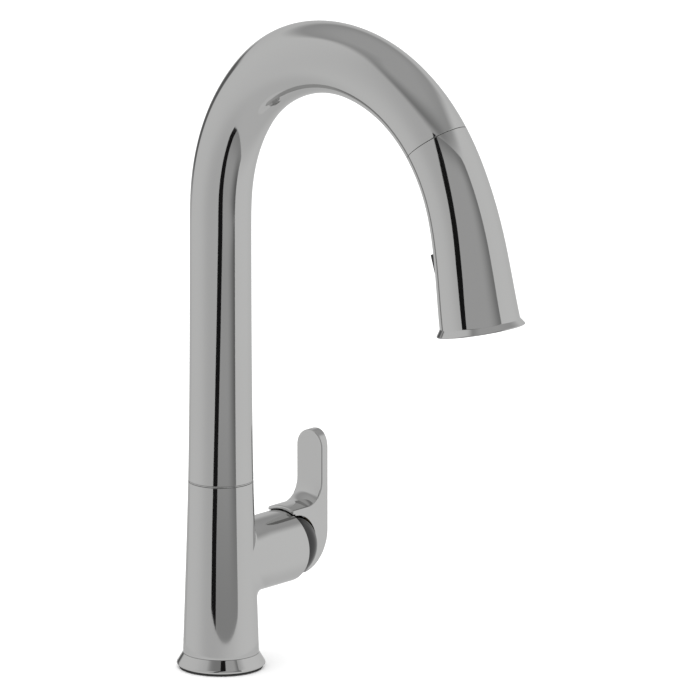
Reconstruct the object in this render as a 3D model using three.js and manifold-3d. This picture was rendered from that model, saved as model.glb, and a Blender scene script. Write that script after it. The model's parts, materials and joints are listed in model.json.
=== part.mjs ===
// A pull-down kitchen faucet: a tapered gooseneck spout on a body with a side lever.
// Millimetres, +Z up. The origin is the centre of the base on the deck, the spout
// reaches towards -Y and the lever is on +X.
import * as THREE from "three";
import { mergeVertices } from "three/addons/utils/BufferGeometryUtils.js";
import Module from "manifold-3d";

const wasm = await Module();
wasm.setup();

// ---- Driving dimensions -------------------------------------------------------------
const GAP = 0.3; // clearance between pieces that touch
const SIDES = 24; // facets round a casing
const FEW_SIDES = 16; // facets round a small or hidden piece
const RING_STEP = 13; // longest facet along the bent spout

// The spout's centreline, by its length above the deck: curvature per mm at each length.
const BEND = [
  [255, 0],
  [283, 0.00826],
  [325, 0.00945],
  [382, 0.01312],
  [439, 0.01119],
  [496, 0.01009],
  [552, 0.00557],
  [609, -0.00304],
];
// The casing's outer radius, by the same length.
const GIRTH = [
  [8, 21.7],
  [122, 18.44],
  [256, 17.57],
  [335, 18.31],
  [384, 20.6],
  [432, 20.05],
  [481, 19.15],
  [530, 19.2],
  [572, 21.1],
  [613, 23.3],
];
const BODY_SEAM = 109.7; // where the turning spout stands on the fixed body
const HEAD_SEAM = 502.9; // where the spray head parts from the spout
const HEAD_END = 612.6;
const SEAM_HALF = 0.25;
const WALL = 2;

const GASKET_TOP = 1;
const BASE_TOP = 8.6;
const BASE_RADIUS = 25.4;
const BODY_BORE = 15.5;
const SPIGOT_RADIUS = 16.7;

const BOSS_HEIGHT = 60.8; // height of the lever boss's axis
const BOSS_RADIUS = 21;
const BOSS_RIM = 53.3; // how far the boss reaches from the body's axis
const BOSS_BORE = 18;
const DOME_CENTRE = 54.3; // the dome, the stem's pin and the lever share this centre
const DOME_RADIUS = 19.7;
const DOME_WALL = 1.5;
const DOME_HOLE = 9.3;

const LEVER_INNER = 20.4; // sphere inside the lever, over the dome
const LEVER_WIDTH = 19;
const LEVER_TOP = 125.5;
const LEVER_BACK = [61, 66.5, 24]; // x, z and radius of the lever's rounded back
const SADDLE_RADIUS = 22.9;
const PADDLE_FACE = 77.8; // the paddle's face towards the spout
const STEM_TILT = THREE.MathUtils.degToRad(12.5);

const SHANK_RADIUS = 15.1;
const SHANK_BORE = 13.6;
const SHANK_END = -62;
const DECK_UNDERSIDE = -35;
const TUBE_END = -84;
const INLETS = { hot_inlet_tube: [6, 7.5], cold_inlet_tube: [6, -7.5] };
const OUTLET = [10, 0];

const HOSE_RADIUS = 5.5;
const HOSE_OFFSET = -7; // the hose runs beside the valve in the body

const ROCKER_LENGTH = [566, 580];
const ROCKER_HALF = 11.3;
const ROCKER_PROUD = 1.5;
const ROCKER_PIN = [573, 16.2]; // length along the spout and distance from its centreline

// ---- Finishes -----------------------------------------------------------------------
const finish = (color, roughness, metalness) =>
  new THREE.MeshStandardMaterial({ color, roughness, metalness });
const CHROME = finish(0xb4b4b2, 0.08, 1);
const SMOKED = finish(0x2c2c2c, 0.15, 1);
const BRASS = finish(0xb08d4a, 0.35, 1);
const STEEL = finish(0x8f9192, 0.3, 1);
const BLACK = finish(0x151515, 0.45, 0);
const WHITE = finish(0xd8d8d4, 0.5, 0);
const RUBBER = finish(0x1c1c1c, 0.85, 0);
const NYLON = finish(0x3a3d40, 0.7, 0);
const MAGNET = finish(0x4a4a4c, 0.5, 0.6);

// ---- Geometry helpers ---------------------------------------------------------------
// A smooth curve through [at, value] pairs, straight beyond its ends' values.
function smooth(pairs, at) {
  const last = pairs.length - 1;
  if (at <= pairs[0][0]) return pairs[0][1];
  if (at >= pairs[last][0]) return pairs[last][1];
  const i = pairs.findIndex(([x]) => x > at) - 1;
  const slope = (a, b) => (pairs[b][1] - pairs[a][1]) / (pairs[b][0] - pairs[a][0]);
  const tangent = (k) => slope(Math.max(k - 1, 0), Math.min(k + 1, last));
  const span = pairs[i + 1][0] - pairs[i][0];
  const t = (at - pairs[i][0]) / span;
  const rise = pairs[i][1] * (1 + 2 * t) * (1 - t) ** 2 + pairs[i + 1][1] * t * t * (3 - 2 * t);
  return rise + span * (tangent(i) * t * (1 - t) ** 2 - tangent(i + 1) * t * t * (1 - t));
}

const girth = (length) => smooth(GIRTH, length);

// The centreline worked out in short steps: [y, z, lean] for each whole millimetre.
const CENTRELINE = [[0, 0, 0]];
for (let length = 0; length < 640; length += 1) {
  const [y, z, lean] = CENTRELINE.at(-1);
  const knot = Math.max(BEND.findIndex(([x]) => x > length + 0.5), 1);
  const [a, b] = length + 0.5 > BEND.at(-1)[0] ? BEND.slice(-2) : BEND.slice(knot - 1, knot + 1);
  const t = (length + 0.5 - a[0]) / (b[0] - a[0]);
  const curvature = length + 0.5 < BEND[0][0] ? 0 : a[1] + (b[1] - a[1]) * Math.min(t, 1);
  const middle = lean + curvature / 2;
  CENTRELINE.push([y - Math.sin(middle), z + Math.cos(middle), lean + curvature]);
}

function centre(length) {
  if (length < 0) return [0, length, 0];
  const i = Math.floor(length);
  const t = length - i;
  return CENTRELINE[i].map((value, k) => value + (CENTRELINE[i + 1][k] - value) * t);
}

// A round solid about the Z axis. The profile is [radius, height] points, either closed
// on itself or from the axis back to the axis.
function turned(profile, sides = FEW_SIDES) {
  const next = (i) => profile[(i + 1) % profile.length];
  const area = profile.reduce((sum, [r, z], i) => sum + r * next(i)[1] - next(i)[0] * z, 0);
  const solidCore = profile[0][0] === 0 && profile.at(-1)[0] === 0;
  const outline = solidCore ? [...profile] : [...profile, profile[0]];
  if (area < 0) outline.reverse();
  const points = outline.map(([r, z]) => new THREE.Vector2(r, z));
  return new THREE.LatheGeometry(points, sides).rotateX(Math.PI / 2);
}

const disc = (radius, low, high, sides) =>
  turned([[0, low], [radius, low], [radius, high], [0, high]], sides);
const ring = (inner, outer, low, high, sides) =>
  turned([[inner, low], [outer, low], [outer, high], [inner, high]], sides);
const box = (x, y, z) =>
  new THREE.BoxGeometry(x[1] - x[0], y[1] - y[0], z[1] - z[0]).translate(
    (x[0] + x[1]) / 2,
    (y[0] + y[1]) / 2,
    (z[0] + z[1]) / 2,
  );

// Puts a straight geometry, whose height is a length along the spout, onto the centreline.
function follow(geometry) {
  const place = geometry.attributes.position;
  for (let i = 0; i < place.count; i += 1) {
    const [y, z, lean] = centre(place.getZ(i));
    const out = place.getY(i);
    place.setXYZ(i, place.getX(i), y + out * Math.cos(lean), z + out * Math.sin(lean));
  }
  geometry.computeVertexNormals();
  return geometry;
}

// A round solid bent along the spout. Long edges are divided so that they can bend.
function bent(profile, sides = SIDES) {
  const divided = [];
  profile.forEach(([r, length], i) => {
    const [r2, length2] = profile[(i + 1) % profile.length];
    const closing = r === 0 && r2 === 0;
    const steps = closing ? 1 : Math.max(1, Math.ceil(Math.abs(length2 - length) / RING_STEP));
    for (let k = 0; k < steps; k += 1) {
      divided.push([r + ((r2 - r) * k) / steps, length + ((length2 - length) * k) / steps]);
    }
  });
  return follow(turned(divided, sides));
}

// Lengths from low to high, no further apart than one ring step.
function lengths(low, high) {
  const count = Math.ceil((high - low) / RING_STEP);
  return Array.from({ length: count + 1 }, (_, i) => low + ((high - low) * i) / count);
}

const skin = (low, high, inset = 0) => lengths(low, high).map((l) => [girth(l) - inset, l]);

function solid(geometry) {
  const bare = geometry.index ? geometry.toNonIndexed() : geometry.clone();
  bare.deleteAttribute("normal");
  bare.deleteAttribute("uv");
  const merged = mergeVertices(bare, 1e-4);
  const mesh = { numProp: 3, vertProperties: merged.attributes.position.array };
  return new wasm.Manifold(new wasm.Mesh({ ...mesh, triVerts: new Uint32Array(merged.index.array) }));
}

function geometryOf(manifold) {
  const { vertProperties, triVerts } = manifold.getMesh();
  const geometry = new THREE.BufferGeometry();
  geometry.setAttribute("position", new THREE.Float32BufferAttribute(vertProperties, 3));
  geometry.setIndex([...triVerts]);
  geometry.computeVertexNormals();
  return geometry;
}

const combine = (way) => (first, ...others) =>
  geometryOf(others.reduce((sum, other) => sum[way](solid(other)), solid(first)));
const cut = combine("subtract");
const join = combine("add");
const overlap = combine("intersect");

// ---- Frames that pieces sit in ------------------------------------------------------
const faucet = new THREE.Group();

function frameAt(length) {
  const [y, z, lean] = centre(length);
  const group = new THREE.Group();
  group.position.set(0, y, z);
  group.rotation.x = lean;
  faucet.add(group);
  return group;
}

const dock = frameAt(HEAD_SEAM); // local +Z is the way the head pulls out
const outlet = frameAt(HEAD_END); // local +Z is the way the water leaves
const selector = frameAt(ROCKER_PIN[0]);
const boss = new THREE.Group(); // local +Z points out along the boss
boss.position.set(0, 0, BOSS_HEIGHT);
boss.rotation.y = Math.PI / 2;
faucet.add(boss);

function add(name, geometry, material, parent = faucet) {
  const mesh = new THREE.Mesh(geometry, material);
  mesh.name = name;
  parent.add(mesh);
}

const alongX = (geometry, height = 0) =>
  geometry.rotateY(Math.PI / 2).translate(0, 0, height);

// ---- Base and fixed body ------------------------------------------------------------
function baseRing() {
  const flare = [[24.2, GASKET_TOP + GAP], [BASE_RADIUS, 2.4], [25.2, 3.2], [21.8, BASE_TOP]];
  return turned([[17, GASKET_TOP + GAP], ...flare, [17, BASE_TOP]], SIDES);
}

function lowerBody() {
  const foot = BASE_TOP + GAP;
  const outside = skin(foot, BODY_SEAM - 2 * SEAM_HALF);
  const column = turned(
    [[0, 1.5], [SPIGOT_RADIUS, 1.5], [SPIGOT_RADIUS, foot], ...outside, [0, outside.at(-1)[1]]],
    SIDES,
  );
  const arm = alongX(disc(BOSS_RADIUS, 0, BOSS_RIM, SIDES), BOSS_HEIGHT);
  const bores = [
    disc(BODY_BORE, -1, BODY_SEAM + 1, SIDES),
    alongX(disc(BOSS_BORE, 1, BOSS_RIM + 1, SIDES), BOSS_HEIGHT),
    alongX(disc(DOME_RADIUS + 0.4, 49.5, BOSS_RIM + 1, SIDES), BOSS_HEIGHT),
  ];
  return cut(join(column, arm), ...bores);
}

add("base_gasket", ring(SHANK_RADIUS + GAP, 24, 0, GASKET_TOP, SIDES), RUBBER);
add("base_ring", baseRing(), CHROME);
add("lower_body", lowerBody(), CHROME);

// ---- Fixing under the deck ----------------------------------------------------------
const NUT = [-52, -41.5];
const NUT_SCREWS = { nut_screw_1: 20, nut_screw_2: -20 };

function mountingNut() {
  const holes = Object.values(NUT_SCREWS).map((x) =>
    disc(2.8, NUT[0] - 1, NUT[1] + 1, 12).translate(x, 0, 0),
  );
  return cut(ring(SHANK_RADIUS + GAP, 24.5, ...NUT, SIDES), ...holes);
}

add("mounting_shank", ring(SHANK_BORE, SHANK_RADIUS, SHANK_END, 14, SIDES), STEEL);
add("shank_washer_rubber", ring(15.6, 26, DECK_UNDERSIDE - 3, DECK_UNDERSIDE, SIDES), RUBBER);
add("shank_washer_steel", ring(15.6, 26, DECK_UNDERSIDE - 5, DECK_UNDERSIDE - 3 - GAP, SIDES), STEEL);
add("mounting_nut", mountingNut(), BRASS);
for (const [name, x] of Object.entries(NUT_SCREWS)) {
  const screw = join(disc(2.4, -54, -40.3, 12), disc(4, -58, -53, 12));
  add(name, screw.translate(x, 0, 0), STEEL);
}

// ---- Water ways in the body ---------------------------------------------------------
const TUBE_TOP = 51.5;

function waterwayBlock() {
  const sockets = Object.values(INLETS).map(([x, y]) => disc(3.8, 40, 52, 12).translate(x, y, 0));
  const outletSocket = disc(3.3, 40, 52, 12).translate(...OUTLET, 0);
  return cut(alongX(disc(17.5, 1.5, 19.8, SIDES), BOSS_HEIGHT), ...sockets, outletSocket);
}

add("waterway_block", waterwayBlock(), BRASS);
for (const [name, [x, y]] of Object.entries(INLETS)) {
  const nipple = [[1.9, TUBE_END], [5.2, TUBE_END], [5.2, -72], [3.5, -72], [3.5, TUBE_TOP]];
  add(name, turned([...nipple, [1.9, TUBE_TOP]], 12).translate(x, y, 0), BRASS);
}
add("outlet_tube", ring(1.5, 3, -78, TUBE_TOP, 12).translate(...OUTLET, 0), BRASS);

// ---- Cartridge, dome and stem -------------------------------------------------------
const ROTOR_NECK = 10;
const STEM_HALF = 3.5;
const STEM_SIDE = 4;
const PIN_RADIUS = 1.8;
const acrossY = (geometry, x) => geometry.rotateX(Math.PI / 2).translate(x, 0, BOSS_HEIGHT);

// Turns a geometry that points along +Z to point along the stem, from the dome's centre.
const alongStem = (geometry) =>
  geometry.rotateY(Math.PI / 2 - STEM_TILT).translate(DOME_CENTRE, 0, BOSS_HEIGHT);

function cartridgeRotor() {
  const plug = alongX(
    turned([[0, 36.3], [14, 36.3], [14, 43.7], [ROTOR_NECK, 43.7], [ROTOR_NECK, 58.5], [0, 58.5]]),
    BOSS_HEIGHT,
  );
  const half = STEM_SIDE + GAP;
  const slot = box([46.5, 60], [-half, half], [BOSS_HEIGHT - 12, BOSS_HEIGHT + 12]);
  return cut(plug, slot, acrossY(disc(PIN_RADIUS + GAP, -12, 12, 12), DOME_CENTRE));
}

// An arc in a turned profile, about the dome's centre, from the side to the pole's hole.
function domeArc(radius, steps = 6) {
  const last = Math.acos(DOME_HOLE / radius);
  return Array.from({ length: steps + 1 }, (_, i) => {
    const angle = (last * i) / steps;
    return [radius * Math.cos(angle), DOME_CENTRE + radius * Math.sin(angle)];
  });
}

function domeBonnet() {
  const outside = domeArc(DOME_RADIUS);
  const inside = domeArc(DOME_RADIUS - DOME_WALL).toReversed();
  const skirt = 50.2;
  return turned([[DOME_RADIUS, skirt], ...outside, ...inside, [DOME_RADIUS - DOME_WALL, skirt]], SIDES);
}

function cartridgeStem() {
  const bar = box([-STEM_HALF, STEM_HALF], [-STEM_SIDE, STEM_SIDE], [-3, 26]);
  return cut(alongStem(bar), acrossY(disc(PIN_RADIUS + GAP, -12, 12, 12), DOME_CENTRE));
}

const CARTRIDGE = [[0, 20.2], [17.4, 20.2], [17.4, 46], [14.3, 46], [14.3, 36], [0, 36]];
add("cartridge_body", turned(CARTRIDGE, SIDES), WHITE, boss);
add("retaining_nut", ring(10.6, 17.7, 46.3, 49.8, SIDES), BRASS, boss);
add("dome_bonnet", domeBonnet(), SMOKED, boss);
add("cartridge_rotor", cartridgeRotor(), WHITE);
add("stem_pin", acrossY(disc(PIN_RADIUS, -9.2, 9.2, 12), DOME_CENTRE), STEEL);
add("cartridge_stem", cartridgeStem(), BRASS);

// ---- Lever --------------------------------------------------------------------------
const SCREW_REACH = 22.7; // the set screw's distance from the dome's centre along the stem

// Turns a geometry that points along +Z to point from the stem out through the lever's foot.
const alongSetScrew = (geometry) =>
  alongStem(geometry.rotateY(Math.PI / 2).translate(0, 0, SCREW_REACH));

function paddleOutline() {
  const half = LEVER_WIDTH / 2;
  const shoulder = LEVER_TOP - half - 1;
  const shape = new THREE.Shape([new THREE.Vector2(half, 38), new THREE.Vector2(half, shoulder)]);
  shape.absellipse(0, shoulder, half, half + 1, 0, Math.PI);
  shape.lineTo(-half, 38);
  const slab = new THREE.ExtrudeGeometry(shape, { depth: 34, bevelEnabled: false, curveSegments: 8 });
  const axes = new THREE.Matrix4().makeBasis(
    new THREE.Vector3(0, 1, 0),
    new THREE.Vector3(0, 0, 1),
    new THREE.Vector3(1, 0, 0),
  );
  return slab.applyMatrix4(axes).translate(52.3, 0, 0);
}

// The rounded back: half a ball below, and a round column above it.
function leverBack() {
  const [x, z, radius] = LEVER_BACK;
  const low = Array.from({ length: 13 }, (_, i) => {
    const angle = (Math.PI / 2) * (i / 12);
    return [radius * Math.sin(angle), z - radius * Math.cos(angle)];
  });
  low[0][0] = 0;
  return turned([...low, [radius, LEVER_TOP + 1], [0, LEVER_TOP + 1]], 48).translate(x, 0, 0);
}

// What is cut away above the saddle, with a round corner up to the paddle's face.
function saddleCutter() {
  const round = 10.5;
  const corner = Array.from({ length: 9 }, (_, i) => {
    const angle = (Math.PI / 2) * (i / 8);
    const out = SADDLE_RADIUS + round - round * Math.cos(angle);
    return [out, PADDLE_FACE - round + round * Math.sin(angle)];
  });
  const outside = 72;
  return alongX(
    turned([[SADDLE_RADIUS, 50], ...corner, [outside, PADDLE_FACE], [outside, 50]], 48),
    BOSS_HEIGHT,
  );
}

function lever() {
  const ball = new THREE.SphereGeometry(LEVER_INNER, 40, 28);
  const pocket = box([-3.8, 3.8], [-4.3, 4.3], [10, 26.4]);
  return cut(
    overlap(paddleOutline(), leverBack()),
    ball.translate(DOME_CENTRE, 0, BOSS_HEIGHT),
    alongX(disc(BOSS_RADIUS + 0.4, 40, DOME_CENTRE, 40), BOSS_HEIGHT),
    saddleCutter(),
    alongStem(pocket),
    alongSetScrew(disc(2.6, 3, 18, 12)),
  );
}

add("lever", lever(), CHROME);
const hexSocket = disc(1.3, 8, 12, 6);
add("lever_set_screw", alongSetScrew(cut(disc(2.2, 3.9, 10.5, 12), hexSocket)), STEEL);

// ---- Swivel between the body and the spout ------------------------------------------
const SLEEVE_RADIUS = 13.5;
const SLEEVE_BORE = 10.2;
const GROOVE_RADIUS = 12.2;
const O_RINGS = { swivel_o_ring_lower: 124, swivel_o_ring_upper: 131 };
const SNAP_RING = [147.2, 148.8];

function swivelSleeve() {
  const grooves = [...Object.values(O_RINGS).map((z) => [z, z + 3]), SNAP_RING];
  const outside = grooves.flatMap(([low, high]) => [
    [SLEEVE_RADIUS, low],
    [GROOVE_RADIUS, low],
    [GROOVE_RADIUS, high],
    [SLEEVE_RADIUS, high],
  ]);
  const collar = [[SLEEVE_BORE, 96], [15.2, 96], [15.2, 109], [SLEEVE_RADIUS, 109]];
  return turned([...collar, ...outside, [SLEEVE_RADIUS, 150], [SLEEVE_BORE, 150]]);
}

add("swivel_sleeve", swivelSleeve(), BRASS);
for (const [name, z] of Object.entries(O_RINGS)) {
  add(name, ring(GROOVE_RADIUS + GAP, 15.9, z + GAP, z + 3 - GAP), RUBBER);
}
add("spout_snap_ring", ring(GROOVE_RADIUS + GAP, 15.6, 147.5, 148.5), STEEL);
add("seam_ring", ring(15.5, 18.2, BODY_SEAM - SEAM_HALF, BODY_SEAM + SEAM_HALF, SIDES), STEEL);
add("swivel_bush_lower", ring(SLEEVE_RADIUS + GAP, 16.2, 110.6, 120), WHITE);
add("swivel_bush_upper", ring(SLEEVE_RADIUS + GAP, 15.7, 138, 146.8), WHITE);

// ---- Spout --------------------------------------------------------------------------
function shell(low, high, end = []) {
  const inside = skin(low, high, WALL + 0.1).toReversed();
  return bent([...skin(low, high), ...end, ...inside]);
}

add("spout_shell", shell(BODY_SEAM + 2 * SEAM_HALF, HEAD_SEAM - SEAM_HALF), CHROME);
const SOCKET = [[12.7, -17], [14.6, -17], [14.6, -4], [16.5, -4], [16.5, -0.9], [12.7, -0.9]];
add("dock_socket", turned(SOCKET), BLACK, dock);
add("dock_magnet", ring(8.2, 12.4, -22.5, -17.3), MAGNET, dock);

// ---- Spray hose ---------------------------------------------------------------------
const HOSE_SPLIT = 112; // above this height the hose turns with the spout
// The hose's route through the shank and the body, up to the swivel.
const HOSE_ROUTE = [
  [HOSE_OFFSET, -66],
  [HOSE_OFFSET, 0],
  [HOSE_OFFSET, 60],
  [-5.5, 84],
  [-1.5, 102],
  [0, HOSE_SPLIT],
];

function hoseTail() {
  const points = HOSE_ROUTE.map(([x, z]) => new THREE.Vector3(x, 0, z));
  const section = new THREE.Shape().absarc(0, 0, HOSE_RADIUS, 0, 2 * Math.PI);
  const path = new THREE.CatmullRomCurve3(points);
  return new THREE.ExtrudeGeometry(section, { steps: 16, curveSegments: 5, extrudePath: path });
}

add("spray_hose_tail", hoseTail(), NYLON);
add("hose_quick_connect", disc(6.5, -80, -66 - GAP, 12).translate(HOSE_OFFSET, 0, 0), BLACK);
const HOSE = [[0, HOSE_SPLIT + 1], [HOSE_RADIUS, HOSE_SPLIT + 1], [HOSE_RADIUS, 478], [0, 478]];
add("spray_hose", bent(HOSE, 10), NYLON);
add("hose_end", disc(HOSE_RADIUS, -21.5, -15.3, 12), NYLON, dock);
add("hose_connector", turned([[0, -15], [7, -15], [8.4, -12], [8.4, 8], [0, 8]]), BRASS, dock);

// ---- Spray head ---------------------------------------------------------------------
// The window in the head's wall, on the side that faces the body, that the rocker fills.
const [ROCKER_LOW, ROCKER_HIGH] = ROCKER_LENGTH;

function headShell() {
  const lip = [[25.5, HEAD_END - 0.6], [25.2, HEAD_END], [20.7, HEAD_END], [20.7, 600]];
  const low = HEAD_SEAM + SEAM_HALF;
  const outside = skin(low, HEAD_END - 5.5);
  const inside = skin(low, 598, WALL).toReversed();
  const window = box(
    [-ROCKER_HALF - 0.4, ROCKER_HALF + 0.4],
    [-30, -8],
    [ROCKER_LOW - 0.8, ROCKER_HIGH + 0.8],
  );
  return cut(bent([...outside, ...lip, ...inside]), follow(window));
}

const NECK = [
  [8.9, -16],
  [12.3, -16],
  [12.3, 1.2],
  [16.6, 1.2],
  [16.6, 4.2],
  [12.3, 4.2],
  [12.3, 12],
  [8.9, 12],
];

function headCore() {
  const inner = 6.2;
  const outside = [[13.4, 516.5], [13.4, 586], [18.6, 589], [18.6, 596]];
  const [length, out] = ROCKER_PIN;
  const ears = [-1, 1].map((side) =>
    follow(
      box([side * 5.6 - 0.7, side * 5.6 + 0.7], [-out - 1.5, -12], [length - 3, length + 3]),
    ),
  );
  const pinHole = follow(disc(1.5, -8, 8, 12).rotateY(Math.PI / 2).translate(0, -out, length));
  return cut(join(bent([[inner, 516.5], ...outside, [inner, 596]], FEW_SIDES), ...ears), pinHole);
}

function rockerButton() {
  const [length, out] = ROCKER_PIN;
  const pad = bent([
    [19.5, ROCKER_LOW],
    [girth(ROCKER_LOW) + ROCKER_PROUD, ROCKER_LOW],
    [girth(ROCKER_HIGH) + 0.2, ROCKER_HIGH],
    [19.5, ROCKER_HIGH],
  ]);
  const part = follow(box([-ROCKER_HALF, ROCKER_HALF], [-30, -8], [ROCKER_LOW - 1, ROCKER_HIGH + 1]));
  const lug = follow(box([-4.6, 4.6], [-20, -out + 2.2], [length - 3, length + 3]));
  const pinHole = follow(disc(1.5, -8, 8, 12).rotateY(Math.PI / 2).translate(0, -out, length));
  return cut(join(overlap(pad, part), lug), pinHole);
}

add("head_shell", headShell(), CHROME);
add("head_neck", turned(NECK), BLACK, dock);
add("neck_ring", ring(8.9, 12.2, -17, -16.3), STEEL, dock);
add("check_valve", disc(8.3, 8.3, 11.8), WHITE, dock);
add("head_core", headCore(), WHITE);
add("rocker_button", rockerButton(), BLACK);
const rockerPin = disc(1.2, -6.2, 6.2, 12).rotateY(Math.PI / 2);
add("rocker_pin", rockerPin.translate(0, -ROCKER_PIN[1], 0), STEEL, selector);
add("diverter_plunger", disc(5.2, -11, 9, 12), BLACK, selector);

// ---- Outlet -------------------------------------------------------------------------
add("nozzle_mat", ring(8.2, 19.6, -15.1, -13.2, SIDES), RUBBER, outlet);
add("spray_face", ring(8.2, 20.1, -12.9, -2.6, SIDES), BLACK, outlet);
add("aerator", disc(7.8, -15.1, -1.6), WHITE, outlet);
add("outlet_trim_ring", ring(16.8, 20.2, -2.3, -0.5, SIDES), CHROME, outlet);

export default faucet;
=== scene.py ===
# %% [markdown]
# # A pull-down kitchen faucet
#
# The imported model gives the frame: every body, every joint and the true place of each
# piece. This lesson dresses it. The big chrome casings are made again with fine, smooth
# surfaces, because polished chrome shows each facet as a broken reflection. Small and
# hidden pieces keep their shape and only get a better finish.

# %% Load the frame
import json
import math

import bmesh
import bpy
import numpy as np
from mathutils import Matrix, Vector


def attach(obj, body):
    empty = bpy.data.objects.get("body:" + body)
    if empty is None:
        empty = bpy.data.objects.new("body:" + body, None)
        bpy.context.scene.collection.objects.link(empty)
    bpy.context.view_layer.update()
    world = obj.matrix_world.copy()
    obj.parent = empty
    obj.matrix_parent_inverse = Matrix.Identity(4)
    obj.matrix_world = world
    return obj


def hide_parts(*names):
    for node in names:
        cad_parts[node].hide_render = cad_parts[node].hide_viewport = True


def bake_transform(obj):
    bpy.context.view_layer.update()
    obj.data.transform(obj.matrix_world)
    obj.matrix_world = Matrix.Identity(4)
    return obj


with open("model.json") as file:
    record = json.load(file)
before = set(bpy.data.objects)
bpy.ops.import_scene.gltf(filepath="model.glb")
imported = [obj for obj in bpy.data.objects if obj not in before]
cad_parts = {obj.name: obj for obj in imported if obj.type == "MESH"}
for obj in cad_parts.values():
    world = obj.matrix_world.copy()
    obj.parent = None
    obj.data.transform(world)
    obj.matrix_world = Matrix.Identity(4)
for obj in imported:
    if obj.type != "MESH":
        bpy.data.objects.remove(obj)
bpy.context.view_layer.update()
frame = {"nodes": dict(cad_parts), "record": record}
nodes = frame["nodes"]
scene = bpy.context.scene
MM = 0.001

# %% [markdown]
# ## The camera
#
# The faucet is seen from its left front, a little from above. A far camera with a long
# lens keeps the tall column upright and the base nearly flat.

# %% Camera
CAMERA_TURN = math.radians(-49.66)
CAMERA_RISE = math.radians(14.0)
CAMERA_REACH = 15.962  # metres from the aim point
CAMERA_AIM = Vector((0.00039, -0.09613, 0.20122))
LENS = 1449.5

back = Vector((
    math.sin(CAMERA_TURN) * math.cos(CAMERA_RISE),
    -math.cos(CAMERA_TURN) * math.cos(CAMERA_RISE),
    math.sin(CAMERA_RISE),
))
camera_data = bpy.data.cameras.new("camera")
camera_data.lens = LENS
camera_data.sensor_width = 36
camera_data.clip_end = 40
camera = bpy.data.objects.new("camera", camera_data)
scene.collection.objects.link(camera)
camera.location = CAMERA_AIM + back * CAMERA_REACH
camera.rotation_mode = "QUATERNION"
camera.rotation_quaternion = (-back).to_track_quat("-Z", "Y")
scene.camera = camera
print("camera at", [round(x, 2) for x in camera.location])

# %% [markdown]
# ## The spout's line and girth
#
# The spout is one bent, tapering tube. Its centreline is kept as a curvature for each
# length, as a pipe bender would note it, and its radius as a smooth curve of the same
# length. Every long piece is modelled straight and upright first, with its height as the
# length along the tube, and bent at the end. A straight piece is easy to spin, cut and
# round, and the bend then moves each point to its place.

# %% Centreline and girth
BEND = [(255, 0), (283, 0.00826), (325, 0.00945), (382, 0.01312),
        (439, 0.01119), (496, 0.01009), (552, 0.00557), (609, -0.00304)]
GIRTH = [(8, 21.7), (122, 18.44), (256, 17.57), (335, 18.31), (384, 20.6),
         (432, 20.05), (481, 19.15), (530, 19.2), (572, 21.1), (613, 23.3)]
BODY_SEAM, HEAD_SEAM, HEAD_END, SEAM_HALF, HEAD_GAP = 109.7, 502.9, 612.6, 0.25, 0.22


def centreline(last=640):
    """[y, z, lean] for each whole millimetre of length."""
    at, lean = np.array([x for x, _ in BEND]), 0.0
    rows = [(0.0, 0.0, 0.0)]
    for length in range(last):
        middle = length + 0.5
        k = min(max(int(np.searchsorted(at, middle)), 1), len(BEND) - 1)
        (a, low), (b, high) = BEND[k - 1], BEND[k]
        share = min((middle - a) / (b - a), 1)
        curvature = 0 if middle < at[0] else low + (high - low) * share
        y, z, lean = rows[-1]
        half = lean + curvature / 2
        rows.append((y - math.sin(half), z + math.cos(half), lean + curvature))
    return np.array(rows)


LINE = centreline()


def centre(length):
    """y, z and lean of the centreline, for numbers or arrays of them."""
    at = np.arange(len(LINE))
    y, z, lean = (np.interp(length, at, LINE[:, k]) for k in range(3))
    below = np.minimum(length, 0)
    return y, z + below, lean


def girth(length):
    """Outer radius of the casing: cubic pieces through the GIRTH points."""
    pairs = np.array(GIRTH, float)
    at, value = pairs[:, 0], pairs[:, 1]
    slopes = np.empty(len(pairs))
    slopes[1:-1] = (value[2:] - value[:-2]) / (at[2:] - at[:-2])
    slopes[0] = (value[1] - value[0]) / (at[1] - at[0])
    slopes[-1] = (value[-1] - value[-2]) / (at[-1] - at[-2])
    x = np.clip(np.asarray(length, float), at[0], at[-1])
    i = np.clip(np.searchsorted(at, x, side="right") - 1, 0, len(at) - 2)
    span = at[i + 1] - at[i]
    t = (x - at[i]) / span
    rise = value[i] * (1 + 2 * t) * (1 - t) ** 2 + value[i + 1] * t * t * (3 - 2 * t)
    return rise + span * (slopes[i] * t * (1 - t) ** 2 - slopes[i + 1] * t * t * (1 - t))


print("top of the centreline:", round(float(LINE[:, 1].max()), 1), "mm")

# %% [markdown]
# ## Tools for turned pieces
#
# Nearly every piece of a faucet is turned on a lathe, so nearly every mesh here is a
# profile that is spun. A corner with a radius becomes an arc of a few points, with one
# more point just before and after it. Those extra rings keep the shading of the wide
# faces flat up to the edge, which is what makes a small bevel look crisp on chrome.


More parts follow.
